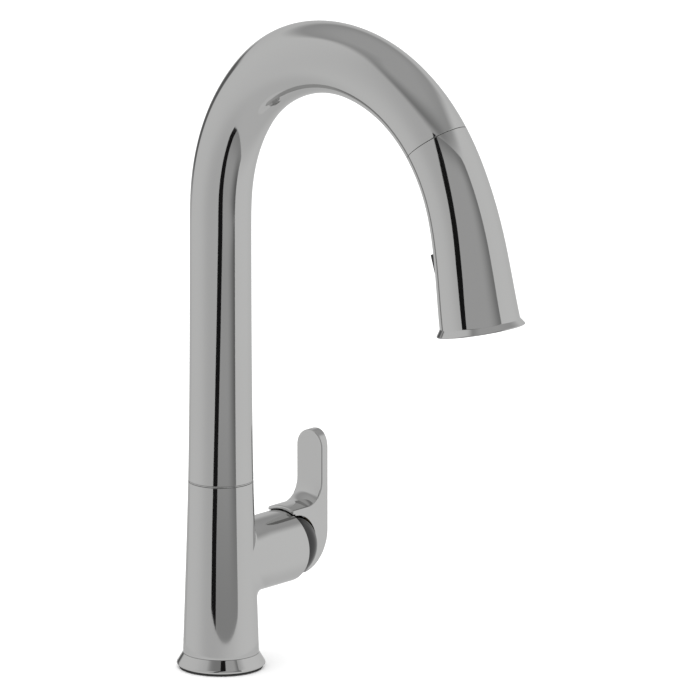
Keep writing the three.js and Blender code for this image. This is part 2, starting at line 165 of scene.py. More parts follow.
# %% Profiles with round corners
def rounded(corners, closed=True, arc_steps=5, support=0.15):
    """(radius, height[, corner radius]) in mm -> points, with the corners as arcs."""
    count, points = len(corners), []
    for i, corner in enumerate(corners):
        here = Vector(corner[:2])
        size = corner[2] if len(corner) > 2 else 0
        ends = not closed and i in (0, count - 1)
        if size == 0 or ends:
            points.append(tuple(here))
            continue
        to_last = Vector(corners[i - 1][:2]) - here
        to_next = Vector(corners[(i + 1) % count][:2]) - here
        turn = to_last.angle(to_next)
        reach = size / math.tan(turn / 2)
        first, last = here + to_last.normalized() * reach, here + to_next.normalized() * reach
        hub = here + (to_last.normalized() + to_next.normalized()).normalized() * (
            size / math.sin(turn / 2))
        if to_last.length > reach + 3 * support:
            points.append(tuple(first + to_last.normalized() * support))
        start, sweep = first - hub, (first - hub).angle_signed(last - hub)
        for k in range(arc_steps + 1):
            angle = -sweep * k / arc_steps
            c, s = math.cos(angle), math.sin(angle)
            points.append((hub.x + start.x * c - start.y * s, hub.y + start.x * s + start.y * c))
        if to_next.length > reach + 3 * support:
            points.append(tuple(last + to_next.normalized() * support))
    return points


def spun(points, sides=96):
    """A closed round solid about Z, from a profile in mm that closes on itself."""
    bm = bmesh.new()
    verts = [bm.verts.new((r * MM, 0, z * MM)) for r, z in points]
    edges = [bm.edges.new(pair) for pair in zip(verts, verts[1:] + verts[:1])
             if pair[0].co.xy.length > 1e-9 or pair[1].co.xy.length > 1e-9]
    bmesh.ops.spin(bm, geom=verts + edges, cent=(0, 0, 0), axis=(0, 0, 1),
                   angle=2 * math.pi, steps=sides, use_merge=True)
    bmesh.ops.remove_doubles(bm, verts=bm.verts, dist=1e-6)
    bmesh.ops.recalc_face_normals(bm, faces=bm.faces)
    return bm


print("a 2 mm square with 0.5 mm corners has",
      len(rounded([(1, 0, .5), (3, 0, .5), (3, 2, .5), (1, 2, .5)])), "points")


# %% [markdown]
# ## Putting a piece in its place
#
# A piece is bent along the tube or turned into its own frame, then made an object that
# rides on its body and stands for its node. Its corners stay sharp where two faces meet
# at a large angle, and everything else shades smooth.


# %% Bending, placing and finishing a piece
def bend(bm):
    """Moves a straight piece onto the spout's centreline."""
    co = np.array([v.co for v in bm.verts]) / MM
    y, z, lean = centre(co[:, 2])
    placed = np.stack([co[:, 0], y + co[:, 1] * np.cos(lean), z + co[:, 1] * np.sin(lean)], 1)
    for vert, place in zip(bm.verts, placed * MM):
        vert.co = place
    return bm


def frame_at(length):
    """The frame whose +Z runs along the tube at that length."""
    y, z, lean = (float(v) for v in centre(length))
    return Matrix.Translation((0, y * MM, z * MM)) @ Matrix.Rotation(lean, 4, "X")


DOCK, OUTLET = frame_at(HEAD_SEAM), frame_at(HEAD_END)
BOSS_HEIGHT, DOME_CENTRE = 60.8, 54.3
BOSS = Matrix.Translation((0, 0, BOSS_HEIGHT * MM)) @ Matrix.Rotation(math.pi / 2, 4, "Y")
SHARP = math.radians(38)


def placed(bm, matrix):
    bmesh.ops.transform(bm, matrix=matrix, verts=bm.verts)
    return bm


def keep_corners(bm, angle=SHARP):
    for face in bm.faces:
        face.smooth = True
    for edge in bm.edges:
        if len(edge.link_faces) == 2 and edge.calc_face_angle(0) > angle:
            edge.smooth = False


def piece(name, bm, finish, body, slot, *stands_for):
    keep_corners(bm)
    mesh = bpy.data.meshes.new(name)
    bm.to_mesh(mesh)
    bm.free()
    mesh.materials.append(finish)
    made = bpy.data.objects.new(name, mesh)
    scene.collection.objects.link(made)
    if body:
        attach(made, body)
    if stands_for:
        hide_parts(*stands_for)
    print(name, len(mesh.polygons), "faces")
    return made


def mesh_object(name, bm):
    """A working object, for a modifier or a boolean."""
    mesh = bpy.data.meshes.new(name)
    bm.to_mesh(mesh)
    bm.free()
    made = bpy.data.objects.new(name, mesh)
    scene.collection.objects.link(made)
    return made


def applied(obj):
    """The object's mesh with its modifiers, as a bmesh; the object is removed."""
    graph = bpy.context.evaluated_depsgraph_get()
    graph.update()
    mesh = bpy.data.meshes.new_from_object(obj.evaluated_get(graph))
    bm = bmesh.new()
    bm.from_mesh(mesh)
    bpy.data.objects.remove(obj)
    bpy.data.meshes.remove(mesh)
    return bm


def combined(bm, others, operation="DIFFERENCE"):
    """bm with other solids cut out of it or joined to it."""
    work = mesh_object("work", bm)
    tools = [mesh_object("tool", other) for other in others]
    for tool in tools:
        step = work.modifiers.new("cut", "BOOLEAN")
        step.operation, step.solver, step.object = operation, "EXACT", tool
    made = applied(work)
    for tool in tools:
        bpy.data.objects.remove(tool)
    return made


# %% [markdown]
# ## Finishes
#
# Chrome plate is a mirror, so its look is what it reflects, and the material itself is
# simple: a grey metal, nearly smooth, with a darker tint at the grazing edge. What tells
# it from a perfect mirror is a faint unevenness of the polish and a few soft wipe marks,
# so the roughness wanders a little over the surface. The other finishes follow the same
# recipe with their own grain: one noise for the roughness and one for the bump.


# %% Material helper
class Finish:
    """A principled material, with short ways to link its nodes."""

    def __init__(self, name, color, roughness, metallic=0.0):
        self.material = bpy.data.materials.new(name)
        self.material.use_nodes = True
        self.tree = self.material.node_tree
        self.shader = self.tree.nodes["Principled BSDF"]
        self.place = self.node("ShaderNodeTexCoord").outputs["Object"]
        self.shader.inputs["Base Color"].default_value = (*color, 1)
        self.shader.inputs["Roughness"].default_value = roughness
        self.shader.inputs["Metallic"].default_value = metallic

    def node(self, kind, **settings):
        made = self.tree.nodes.new(kind)
        for key, value in settings.items():
            setattr(made, key, value)
        return made

    def link(self, source, target):
        self.tree.links.new(source, target)

    def noise(self, scale, detail=2.0, stretch=(1, 1, 1)):
        squeeze = self.node("ShaderNodeMapping")
        squeeze.inputs["Scale"].default_value = stretch
        self.link(self.place, squeeze.inputs["Vector"])
        made = self.node("ShaderNodeTexNoise")
        made.inputs["Scale"].default_value = scale
        made.inputs["Detail"].default_value = detail
        self.link(squeeze.outputs[0], made.inputs["Vector"])
        return made.outputs["Fac"]

    def spread(self, source, low, high, low_in=0.3, high_in=0.7):
        made = self.node("ShaderNodeMapRange")
        for name, value in (("From Min", low_in), ("From Max", high_in),
                            ("To Min", low), ("To Max", high)):
            made.inputs[name].default_value = value
        self.link(source, made.inputs["Value"])
        return made.outputs["Result"]

    def shades(self, source, dark, light, low_in=0.3, high_in=0.7):
        made = self.node("ShaderNodeMix", data_type="RGBA")
        self.link(self.spread(source, 0, 1, low_in, high_in), made.inputs["Factor"])
        made.inputs[6].default_value = (*dark, 1)
        made.inputs[7].default_value = (*light, 1)
        self.link(made.outputs[2], self.shader.inputs["Base Color"])

    def rough(self, source, low, high):
        self.link(self.spread(source, low, high), self.shader.inputs["Roughness"])

    def bump(self, source, depth, strength=1.0):
        made = self.node("ShaderNodeBump")
        made.inputs["Distance"].default_value = depth
        made.inputs["Strength"].default_value = strength
        self.link(source, made.inputs["Height"])
        self.link(made.outputs[0], self.shader.inputs["Normal"])
        return made


# %% Chrome, and chrome painted near black as shade
def chrome(name, color, low, high):
    made = Finish(name, color, low, 1.0)
    made.shader.inputs["Specular Tint"].default_value = (0.82, 0.82, 0.82, 1)
    made.rough(made.noise(38, 4, (1, 1, 0.4)), low, high)
    light = tuple(c * 1.02 for c in color)
    made.shades(made.noise(9, 1), color, light)
    return made.material


CHROME = chrome("chrome_plate", (0.61, 0.61, 0.605), 0.045, 0.065)
# Painted shade: the dome's chrome is made near black to stand for the shade in the gap under the
# lever.
PAINTED_SHADE_CHROME = chrome("chrome_painted_dark_as_shade", (0.07, 0.07, 0.07), 0.10, 0.14)


# %% Metals, plastics, rubber
def metal(name, color, low, high, grain):
    """Turned metal, with fine rings of cutter marks as a stretched noise."""
    made = Finish(name, color, low, 1.0)
    made.rough(made.noise(60, 3), low, high)
    made.shades(made.noise(25, 3), tuple(c * 0.86 for c in color), color)
    made.bump(made.noise(900, 2, (0.15, 0.15, grain)), 0.00004, 0.5)
    return made.material


def plastic(name, color, low, high, depth=0.00003):
    """Moulded plastic, with the fine spark grain of its mould."""
    made = Finish(name, color, low)
    made.rough(made.noise(300, 2), low, high)
    made.shades(made.noise(40, 2), tuple(c * 0.9 for c in color), color)
    made.bump(made.noise(2600, 2), depth, 0.6)
    return made.material


BRASS = metal("turned_brass", (0.69, 0.52, 0.25), 0.22, 0.34, 2.0)
STEEL = metal("turned_steel", (0.52, 0.52, 0.52), 0.20, 0.30, 2.0)
BLACK = plastic("black_plastic", (0.018, 0.018, 0.018), 0.30, 0.42)
WHITE = plastic("white_plastic", (0.78, 0.78, 0.75), 0.38, 0.5)
RUBBER = plastic("black_rubber", (0.022, 0.022, 0.022), 0.6, 0.75, 0.00006)
MAGNET = metal("sintered_magnet", (0.20, 0.20, 0.21), 0.45, 0.6, 1.0)
print("finishes:", len(bpy.data.materials))

# %% [markdown]
# The hose has a sleeve of dark nylon, braided in two directions. The braid has to run
# round the hose, so the object's coordinates are first turned into the frame of the dock
# and made an angle and a height. Two slanting waves, one each way, then cross.


# %% Braided nylon
def braid(name, hose_radius=0.0055, strand=0.0016):
    made = Finish(name, (0.10, 0.10, 0.11), 0.45)
    turn = made.node("ShaderNodeMapping", vector_type="TEXTURE")
    turn.inputs["Location"].default_value = DOCK.to_translation()
    turn.inputs["Rotation"].default_value = DOCK.to_euler()
    made.link(made.place, turn.inputs["Vector"])
    split = made.node("ShaderNodeSeparateXYZ")
    made.link(turn.outputs[0], split.inputs[0])
    around = made.node("ShaderNodeMath", operation="ARCTAN2")
    made.link(split.outputs["Y"], around.inputs[0])
    made.link(split.outputs["X"], around.inputs[1])
    waves = []
    turns = round(hose_radius * 2 * math.pi / strand)
    for way in (1, -1):
        phase = made.node("ShaderNodeMath", operation="MULTIPLY_ADD")
        made.link(split.outputs["Z"], phase.inputs[0])
        phase.inputs[1].default_value = way * 2 * math.pi / strand / 1.6
        slant = made.node("ShaderNodeMath", operation="MULTIPLY")
        made.link(around.outputs[0], slant.inputs[0])
        slant.inputs[1].default_value = turns
        made.link(slant.outputs[0], phase.inputs[2])
        wave = made.node("ShaderNodeMath", operation="SINE")
        made.link(phase.outputs[0], wave.inputs[0])
        waves.append(wave.outputs[0])
    cross = made.node("ShaderNodeMath", operation="MULTIPLY")
    made.link(waves[0], cross.inputs[0])
    made.link(waves[1], cross.inputs[1])
    made.shades(cross.outputs[0], (0.035, 0.035, 0.04), (0.17, 0.17, 0.18), -0.8, 0.8)
    made.bump(cross.outputs[0], 0.00025, 0.8)
    return made.material


BRAID = braid("braided_nylon")

# %% [markdown]
# ## Base ring and gasket
#
# The body stands on a flared ring with a rubber gasket under it, of which only a thin
# dark line shows. Both are spun. The flare meets the deck with a rolled edge, and its
# top meets the body with a crisp one.

# %% Base
BASE_RING = [(17, 1.3, .2), (24.2, 1.3, .3), (25.4, 2.4, .6), (25.1, 3.3, 1.6), (21.75, 8.84, .08),
             (17, 8.84, .08)]
GASKET = [(15.4, 0.02, .1), (24.0, 0.02, .3), (24.0, 1.0, .1), (15.4, 1.0, .1)]
piece("base_ring_fine", spun(rounded(BASE_RING), 128), CHROME, "mount", "chrome", "base_ring")
piece("base_gasket_fine", spun(rounded(GASKET), 128), RUBBER, "mount", "rubber", "base_gasket")

# %% [markdown]
# ## Spout and spray head
#
# Both casings are thin bent shells. Their profile runs up the outside in many short
# steps, turns in over a rounded rim and comes back down the inside. The steps are short
# so that the bend stays smooth, and both are spun with many sides.


# %% Skins of the shells
def skin(low, high, inset=0.0, step=2.5):
    count = max(2, math.ceil((high - low) / step))
    return [(float(girth(l)) - inset, float(l)) for l in np.linspace(low, high, count + 1)]


def shell_profile(low, high, wall, rim=0.15):
    """Outside up, rounded rim, inside down, rounded rim."""
    near = 0.2
    outside = skin(low + rim + near, high - rim - near)
    inside = skin(low + rim + near, high - rim - near, wall, 6)[::-1]
    top = rounded([outside[-1], (float(girth(high)), high, rim),
                   (float(girth(high)) - wall, high, rim), inside[0]], closed=False)
    bottom = rounded([inside[-1], (float(girth(low)) - wall, low, rim),
                      (float(girth(low)), low, rim), outside[0]], closed=False)
    return outside[:-1] + top + inside[1:-1] + bottom[:-1]


spout = bend(spun(shell_profile(BODY_SEAM + 2 * SEAM_HALF, HEAD_SEAM - HEAD_GAP / 2, 2.1)))
piece("spout_shell_fine", spout, CHROME, "spout", "chrome", "spout_shell")
# A bright ring fills the seam, just inside the skin.
SEAM_OUT = float(girth(BODY_SEAM)) - 0.1
SEAM_RING = [(15.5, 109.35, .1), (SEAM_OUT, 109.35, .3), (SEAM_OUT, 110.05, .3),
             (15.5, 110.05, .1)]
piece("seam_ring_fine", spun(rounded(SEAM_RING)), CHROME, "mount", "chrome", "seam_ring")

# %% [markdown]
# The head ends in a flare, and it has a window for the rocker on the side that faces the
# body. The window is cut while the head is straight. A cut leaves long thin faces round
# itself, which would dent the reflections, so the shell keeps the exact directions of
# its uncut surface as its normals.

# %% Head shell
HEAD_WALL, FLARE_START = 2.0, 608.4
ROCKER_LOW, ROCKER_HIGH, ROCKER_HALF = 566.0, 580.0, 11.3


def head_profile():
    low = HEAD_SEAM + HEAD_GAP / 2
    outside = skin(low + 0.45, FLARE_START - 1.5)
    inside = skin(low + 0.45, 598, HEAD_WALL, 6)[::-1]
    flare = rounded([outside[-1], (float(girth(FLARE_START)), FLARE_START, 1.2), (25.5, 612.0, .35),
                     (25.25, HEAD_END, .35), (20.7, HEAD_END, .4), (20.7, 600, .5), inside[0]],
                    closed=False)
    rim = rounded([inside[-1], (float(girth(low)) - HEAD_WALL, low, .15),
                   (float(girth(low)), low, .15), outside[0]], closed=False)
    return outside[:-1] + flare + inside[1:-1] + rim[:-1]


def rounded_block(size, middle, corner):
    """A block whose four long edges, along Y, are round."""
    bm = bmesh.new()
    bmesh.ops.create_cube(bm, size=1)
    bmesh.ops.scale(bm, vec=[s * MM for s in size], verts=bm.verts)
    long_edges = [e for e in bm.edges if abs(e.verts[0].co.y - e.verts[1].co.y) > 1e-6]
    bmesh.ops.bevel(bm, geom=long_edges, offset=corner * MM, affect="EDGES", segments=6,
                    profile=0.5, material=-1)
    bmesh.ops.translate(bm, vec=[m * MM for m in middle], verts=bm.verts)
    return bm


window = rounded_block((2 * ROCKER_HALF + 0.8, 22, ROCKER_HIGH - ROCKER_LOW + 2.4),
                       (0, -19, (ROCKER_LOW + ROCKER_HIGH) / 2), 0.9)
head = bend(combined(spun(head_profile()), [window]))
head_shell = piece("head_shell_fine", head, CHROME, "spray_head", "chrome", "head_shell")


# %% [markdown]
# ## Exact normals
#
# Where a surface has a formula, its direction at each corner of each face is worked out
# from the formula, or from the slope of a formula for the distance to it. A face that
# belongs to a cut is left as it is, which keeps the cut's edge sharp.


# %% Normals from a formula
PROBE = 0.004  # mm


def exact_normals(obj, distance, near=0.02, steepest=0.93, directions=None):
    """Sets corner normals where distance(points in mm) is nearly zero."""
    mesh = obj.data
    co = np.empty(len(mesh.vertices) * 3)
    mesh.vertices.foreach_get("co", co)
    co = co.reshape(-1, 3) / MM
    slope = directions(co) if directions else steepest_way(distance, co)
    on_it = np.abs(distance(co)) < near
    corner = np.empty(len(mesh.loops), int)
    mesh.loops.foreach_get("vertex_index", corner)
    plain = np.empty(len(mesh.loops) * 3)
    mesh.corner_normals.foreach_get("vector", plain)
    plain = plain.reshape(-1, 3)
    facing = np.repeat(np.array([p.normal for p in mesh.polygons]),
                       [p.loop_total for p in mesh.polygons], axis=0)
    exact = slope[corner]
    use = on_it[corner] & ((exact * facing).sum(1) > steepest)
    result = np.where(use[:, None], exact, plain)
    mesh.normals_split_custom_set(result.tolist())
    print(obj.name, "exact corners:", int(use.sum()), "of", len(corner))


def slopes(distance, co):
    """How fast the distance grows along x, y and z."""
    return np.stack([(distance(co + step) - distance(co - step)) / (2 * PROBE)
                     for step in np.eye(3) * PROBE], 1)


def steepest_way(distance, co):
    slope = slopes(distance, co)
    return slope / np.maximum(np.linalg.norm(slope, axis=1, keepdims=True), 1e-12)


def pull_onto(bm, distance, rounds=8, reach=1.5):
    """Moves every vertex to the zero of distance, along its slope."""
    co = np.array([v.co for v in bm.verts]) / MM
    for _ in range(rounds):
        slope = slopes(distance, co)
        size = np.maximum((slope ** 2).sum(1, keepdims=True), 0.05)
        move = slope * (distance(co)[:, None] / size)
        far = np.linalg.norm(move, axis=1, keepdims=True)
        co = co - move * np.minimum(1, reach / np.maximum(far, 1e-9)) * 0.9
    for vert, place in zip(bm.verts, co * MM):
        vert.co = place
    left = np.abs(distance(co))
    print("  left over, mm:", round(float(np.percentile(left, 99)), 4), round(float(left.max()), 3))
    return bm


def along_tube(points):
    """Length along the tube, its lean there, and how far outside the bend a point is."""
    at = np.arange(480.0, 640.0)
    y, z, _ = centre(at)
    gap = (points[:, 1, None] - y) ** 2 + (points[:, 2, None] - z) ** 2
    length = at[gap.argmin(1)]
    for _ in range(7):
        y, z, lean = centre(length)
        dy, dz = points[:, 1] - y, points[:, 2] - z
        length = length - dy * np.sin(lean) + dz * np.cos(lean)
    return length, lean, dy * np.cos(lean) + dz * np.sin(lean)


def head_distance(points):
    length, _, side = along_tube(points)
    return np.hypot(points[:, 0], side) - girth(length)


def head_directions(points):
    """Straight out from the centreline, leaned by the slope of the girth."""
    length, lean, side = along_tube(points)
    out = np.hypot(points[:, 0], side)
    curvature = centre(length + 0.5)[2] - centre(length - 0.5)[2]
    slope = (girth(length + 0.5) - girth(length - 0.5)) / (1 + curvature * side)
    across, up = side / out, -slope
    way = np.stack([points[:, 0] / out, across * np.cos(lean) - up * np.sin(lean),
                    across * np.sin(lean) + up * np.cos(lean)], 1)
    return way / np.linalg.norm(way, axis=1, keepdims=True)


exact_normals(head_shell, head_distance, directions=head_directions)

# %% [markdown]
# ## The body and its boss
#
# The column and the lever's boss are cast as one piece. They meet in a soft hollow below
# the boss and in a tight corner above it, and at the sides the boss grows smoothly out
# of the column. A bevel can't follow a corner that fades away like that. So the body is
# described by a formula for the distance to its skin, in which the two round shapes are
# blended by an amount that changes round the joint. A voxel remesh of the plain union
# gives even faces, and each vertex is then pulled onto the formula.

# %% Formula of the body's skin
BOSS_RADIUS, BOSS_RIM = 21.0, 53.3
BLEND_ABOVE, BLEND_BELOW = 1.4, 7.0


def ease(t):
    t = np.clip(t, 0, 1)
    return t * t * (3 - 2 * t)


def body_distance(p):
    x, y, z = p[:, 0], p[:, 1], p[:, 2]
    out = np.maximum(np.hypot(x, y), 1e-6)
    column = out - girth(z)
    up = z - BOSS_HEIGHT
    around = np.maximum(np.hypot(y, up), 1e-6)
    start = girth(np.full_like(z, BOSS_HEIGHT))
    boss = np.maximum(around - (start + (BOSS_RADIUS - start) * ease(x / 26)), -x)
    parallel = y * y / (out * around)
    below = ease(0.5 - up / 24)
    blend = (BLEND_ABOVE + (BLEND_BELOW - BLEND_ABOVE) * below) * (1 - parallel ** 2) + 0.02
    near = np.maximum(blend - np.abs(column - boss), 0) / blend
    return np.minimum(column, boss) - near * near * blend / 4


# %% Body mesh
def remeshed(bm, voxel):
    work = mesh_object("work", bm)
    step = work.modifiers.new("even", "REMESH")
    step.mode, step.voxel_size = "VOXEL", voxel * MM
    return applied(work)


def trimmed(bm, point, outward):
    """Cuts off what is beyond a plane and closes the cut."""
    geometry = bm.verts[:] + bm.edges[:] + bm.faces[:]
    cut = bmesh.ops.bisect_plane(bm, geom=geometry, dist=1e-7, plane_co=[c * MM for c in point],
                                 plane_no=outward, clear_outer=True)
    rim = [e for e in cut["geom_cut"] if isinstance(e, bmesh.types.BMEdge)]
    bmesh.ops.contextual_create(bm, geom=rim)
    return bm


def cylinder(radius, low, high, sides=96):
    return spun([(0, low), (radius, low), (radius, high), (0, high)], sides)


FOOT, SHOULDER = 8.9, BODY_SEAM - 2 * SEAM_HALF
union = spun([(0, 2), (21.7, 2)] + skin(8, 116, step=6) + [(0, 116)])
arm = mesh_object("arm", placed(cylinder(20.8, 0, 58), BOSS))
union.from_mesh(arm.data)
bpy.data.objects.remove(arm)
body = pull_onto(remeshed(union, 0.9), body_distance)
body = trimmed(body, (0, 0, FOOT), (0, 0, -1))
body = trimmed(body, (0, 0, SHOULDER), (0, 0, 1))
body = trimmed(body, (BOSS_RIM, 0, 0), (1, 0, 0))
body = combined(body, [
    cylinder(15.5, -5, 120),
    placed(cylinder(18, 1, 60), BOSS),
    placed(cylinder(20.1, 49.5, 60), BOSS),
])


def soften_rims(bm, planes, width=0.18):
    """Rounds the edges between the skin and the flat ends."""
    rims = []
    for edge in bm.edges:
        if len(edge.link_faces) != 2 or edge.calc_face_angle(0) < math.radians(40):
            continue
        for axis, at in planes:
            if all(abs(v.co[axis] - at * MM) < 1e-6 for v in edge.verts):
                rims.append(edge)
    bmesh.ops.bevel(bm, geom=rims, offset=width * MM, affect="EDGES", segments=3, profile=0.5,
                    material=-1)
    return bm


body = soften_rims(body, [(2, FOOT), (2, SHOULDER), (0, BOSS_RIM)])
lower_body = piece("lower_body_fine", body, CHROME, "mount", "chrome", "lower_body")
exact_normals(lower_body, body_distance)

# %% [markdown]
# ## Dome
#
# The lever rocks over a dome that sits in the mouth of the boss. Its chrome is painted
# near black: painted shade for the shadowed gap under the lever.

# %% Dome bonnet
DOME_RADIUS, DOME_WALL, DOME_HOLE = 19.7, 1.5, 9.3


def dome_arc(radius, steps=40):
    last = math.acos(DOME_HOLE / radius)
    return [(radius * math.cos(last * i / steps), DOME_CENTRE + radius * math.sin(last * i / steps))
            for i in range(steps + 1)]


dome = dome_arc(DOME_RADIUS) + dome_arc(DOME_RADIUS - DOME_WALL)[::-1]
dome = [(DOME_RADIUS, 50.2)] + dome + [(DOME_RADIUS - DOME_WALL, 50.2)]
# The dome gets the chrome painted near black, which is painted shade for the gap under the lever.
piece("dome_bonnet_fine", placed(spun(dome), BOSS), PAINTED_SHADE_CHROME, "mount", "smoked_chrome",
      "dome_bonnet")

# %% [markdown]
# ## Lever
#
# The lever is a paddle that grows out of a rounded block over the dome. It is the shape
# left when a flat outline, a round back, the dome's ball, the boss and a saddle all cut
# each other. As a formula that is the largest of their distances, and a slightly soft
# largest gives every edge the same small radius, as polishing does before plating.

# %% Formula of the lever's skin
LEVER_HALF, PADDLE_SHOULDER, PADDLE_RISE = 9.5, 114.2, 10.0
LEVER_BACK = (61.0, 66.5, 24.0)  # x, z and radius
LEVER_FRONT, LEVER_INNER = 52.3, 20.4
SADDLE_RADIUS, PADDLE_FACE, SADDLE_ROUND = 23.5, 77.8, 12.0
EDGE_ROUND = 0.9


def soft_largest(first, second, size):
    near = np.maximum(size - np.abs(first - second), 0) / size
    return np.maximum(first, second) + near * near * size / 4


def lever_distance(p):
    x, y, z = p[:, 0], p[:, 1], p[:, 2]
    up = z - BOSS_HEIGHT
    above = np.maximum(z - PADDLE_SHOULDER, 0) * (LEVER_HALF / PADDLE_RISE)
    outline = np.hypot(y, above) - LEVER_HALF
    back = np.sqrt((x - LEVER_BACK[0]) ** 2 + y ** 2 + np.minimum(z - LEVER_BACK[1], 0) ** 2)
    back = back - LEVER_BACK[2]
    ball = LEVER_INNER - np.sqrt((x - DOME_CENTRE) ** 2 + y ** 2 + up ** 2)
    around = np.hypot(y, up)
    boss = np.minimum(BOSS_RADIUS + 0.4 - around, DOME_CENTRE - x)
    inward, over = PADDLE_FACE - x, around - SADDLE_RADIUS
    corner = np.hypot(np.maximum(SADDLE_ROUND - inward, 0), np.maximum(SADDLE_ROUND - over, 0))
    saddle = SADDLE_ROUND - corner + np.maximum(np.minimum(inward, over) - SADDLE_ROUND, 0)
    result = soft_largest(outline, back, EDGE_ROUND)
    for other in (LEVER_FRONT - x, saddle, ball, boss):
        result = soft_largest(result, other, EDGE_ROUND * 0.8)
    return result


# %% Lever mesh
STEM_TILT = math.radians(12.5)
STEM = (Matrix.Translation((DOME_CENTRE * MM, 0, BOSS_HEIGHT * MM))
        @ Matrix.Rotation(math.pi / 2 - STEM_TILT, 4, "Y"))


def copy_of(name):
    bm = bmesh.new()
    bm.from_mesh(nodes[name].data)
    bmesh.ops.remove_doubles(bm, verts=bm.verts, dist=1e-6)
    return bm


def block(low, high):
    bm = bmesh.new()
    bmesh.ops.create_cube(bm, size=1)
    bmesh.ops.scale(bm, vec=[(b - a) * MM for a, b in zip(low, high)], verts=bm.verts)
    bmesh.ops.translate(bm, vec=[(a + b) / 2 * MM for a, b in zip(low, high)], verts=bm.verts)
    return bm


SCREW = (STEM @ Matrix.Translation((0, 0, 22.7 * MM)) @ Matrix.Rotation(math.pi / 2, 4, "Y"))
plugs = [placed(block((-4.6, -5, 18.5), (4.6, 5, 27.2)), STEM), placed(cylinder(3, 2, 17, 24), SCREW)]
solid_lever = combined(copy_of("lever"), plugs, "UNION")
lever = pull_onto(remeshed(solid_lever, 0.42), lever_distance, rounds=10, reach=1.0)
lever = combined(lever, [placed(block((-3.8, -4.3, 10), (3.8, 4.3, 26.4)), STEM),
                         placed(cylinder(2.6, 3, 18, 32), SCREW)])
lever_piece = piece("lever_fine", lever, CHROME, "lever", "chrome", "lever")
exact_normals(lever_piece, lever_distance, steepest=0.8)

# %% [markdown]
# ## Rocker
#
# The spray is switched by a black rocker in the back of the head. Its pad follows the
# head's curve and stands a little proud at its upper end.

# %% Rocker pad
ROCKER_PROUD = 2.1


def rocker_pad():
    bm = bmesh.new()
    bmesh.ops.create_grid(bm, x_segments=28, y_segments=16, size=0.5)
    for vert in bm.verts:
        x = vert.co.x * 2 * ROCKER_HALF
        length = ROCKER_LOW + (vert.co.y + 0.5) * (ROCKER_HIGH - ROCKER_LOW)
        share = (length - ROCKER_LOW) / (ROCKER_HIGH - ROCKER_LOW)
        radius = float(girth(length)) + ROCKER_PROUD * (1 - share) + 0.2 * share
        vert.co = Vector((x, -math.sqrt(radius ** 2 - x ** 2), length)) * MM
    base = bmesh.ops.extrude_face_region(bm, geom=bm.faces[:])
    for vert in [v for v in base["geom"] if isinstance(v, bmesh.types.BMVert)]:
        vert.co.y += 2.6 * MM
    bmesh.ops.recalc_face_normals(bm, faces=bm.faces)
    rim = [e for e in bm.edges if e.calc_face_angle(0) > math.radians(45)]
    bmesh.ops.bevel(bm, geom=rim, offset=0.55 * MM, affect="EDGES", segments=3, profile=0.5,
                    material=-1)
    return bm


pad = combined(rocker_pad(), [block((-4.6, -19, 570), (4.6, -14, 576))], "UNION")
pin_hole = placed(cylinder(1.5, -8, 8, 24), Matrix.Translation((0, -16.2 * MM, 573 * MM))
                  @ Matrix.Rotation(math.pi / 2, 4, "Y"))
piece("rocker_button_fine", bend(combined(pad, [pin_hole])), BLACK, "rocker", "black_plastic",
      "rocker_button")

# %% [markdown]
# ## Spray face
#
# The face is a shallow dish with rings of soft nozzles round an aerator. The nozzles are
# many, so each one is a small cone with few sides.

# %% Face, nozzles and aerator
FACE = [(8.3, -12.9, .2), (20.1, -12.9, .2), (20.1, -2.6, .4), (14, -3.2, 4), (8.3, -2.6, .3)]
piece("spray_face_fine", placed(spun(rounded(FACE)), OUTLET), BLACK, "spray_head",
      "black_plastic", "spray_face")
NOZZLE_RINGS = {10.4: 18, 13.0: 24, 15.6: 30}


def nozzles():
    bm = bmesh.new()
    for radius, count in NOZZLE_RINGS.items():
        for k in range(count):
            angle = 2 * math.pi * k / count
            place = Matrix.Translation((radius * math.cos(angle) * MM, radius * math.sin(angle) * MM,
                                        -2.6 * MM))
            bmesh.ops.create_cone(bm, cap_ends=True, segments=10, radius1=0.75 * MM,
                                  radius2=0.45 * MM, depth=1.8 * MM, matrix=place)
    return bm


piece("spray_nozzles", placed(nozzles(), OUTLET), RUBBER, "spray_head", "rubber")
AERATOR = [(0, -15.1), (7.8, -15.1, .2), (7.8, -1.6, .4), (6.9, -1.6, .3), (6.6, -2.4, .2),
           (5.2, -2.4, .1), (5.0, -1.9, .1), (4.6, -1.9, .1), (4.4, -2.4, .1), (3.0, -2.4, .1),
           (2.8, -1.9, .1), (2.4, -1.9, .1), (2.2, -2.4, .1), (0, -2.4)]
piece("aerator_fine", placed(spun(rounded(AERATOR), 64), OUTLET), WHITE, "spray_head",
      "white_plastic", "aerator")
TRIM = [(16.8, -2.3, .15), (20.2, -2.3, .15), (20.2, -0.5, .5), (16.8, -0.5, .5)]
piece("outlet_trim_ring_fine", placed(spun(rounded(TRIM)), OUTLET), CHROME, "spray_head",
      "chrome", "outlet_trim_ring")

# %% [markdown]
# ## Hose
#
# The hose in the spout is bent like the spout. When the head is drawn out, hose comes
# out of the spout behind it. A short sleeve between the two starts on the spout's line at
# one end and on the line along which the head pulls at the other. It has many rings.

# %% Hose pieces
HOSE_RADIUS = 5.5
hose = [(0, 113)] + [(HOSE_RADIUS, float(l)) for l in np.linspace(113, 478, 150)] + [(0, 478)]
piece("spray_hose_fine", bend(spun(hose, 32)), BRAID, "spout", "nylon_braid", "spray_hose")
END = [(0, -21.5), (HOSE_RADIUS, -21.5), (HOSE_RADIUS, -15.3, .2), (0, -15.3)]
piece("hose_end_fine", placed(spun(rounded(END), 32), DOCK), BRAID, "hose_fitting",
      "nylon_braid", "hose_end")


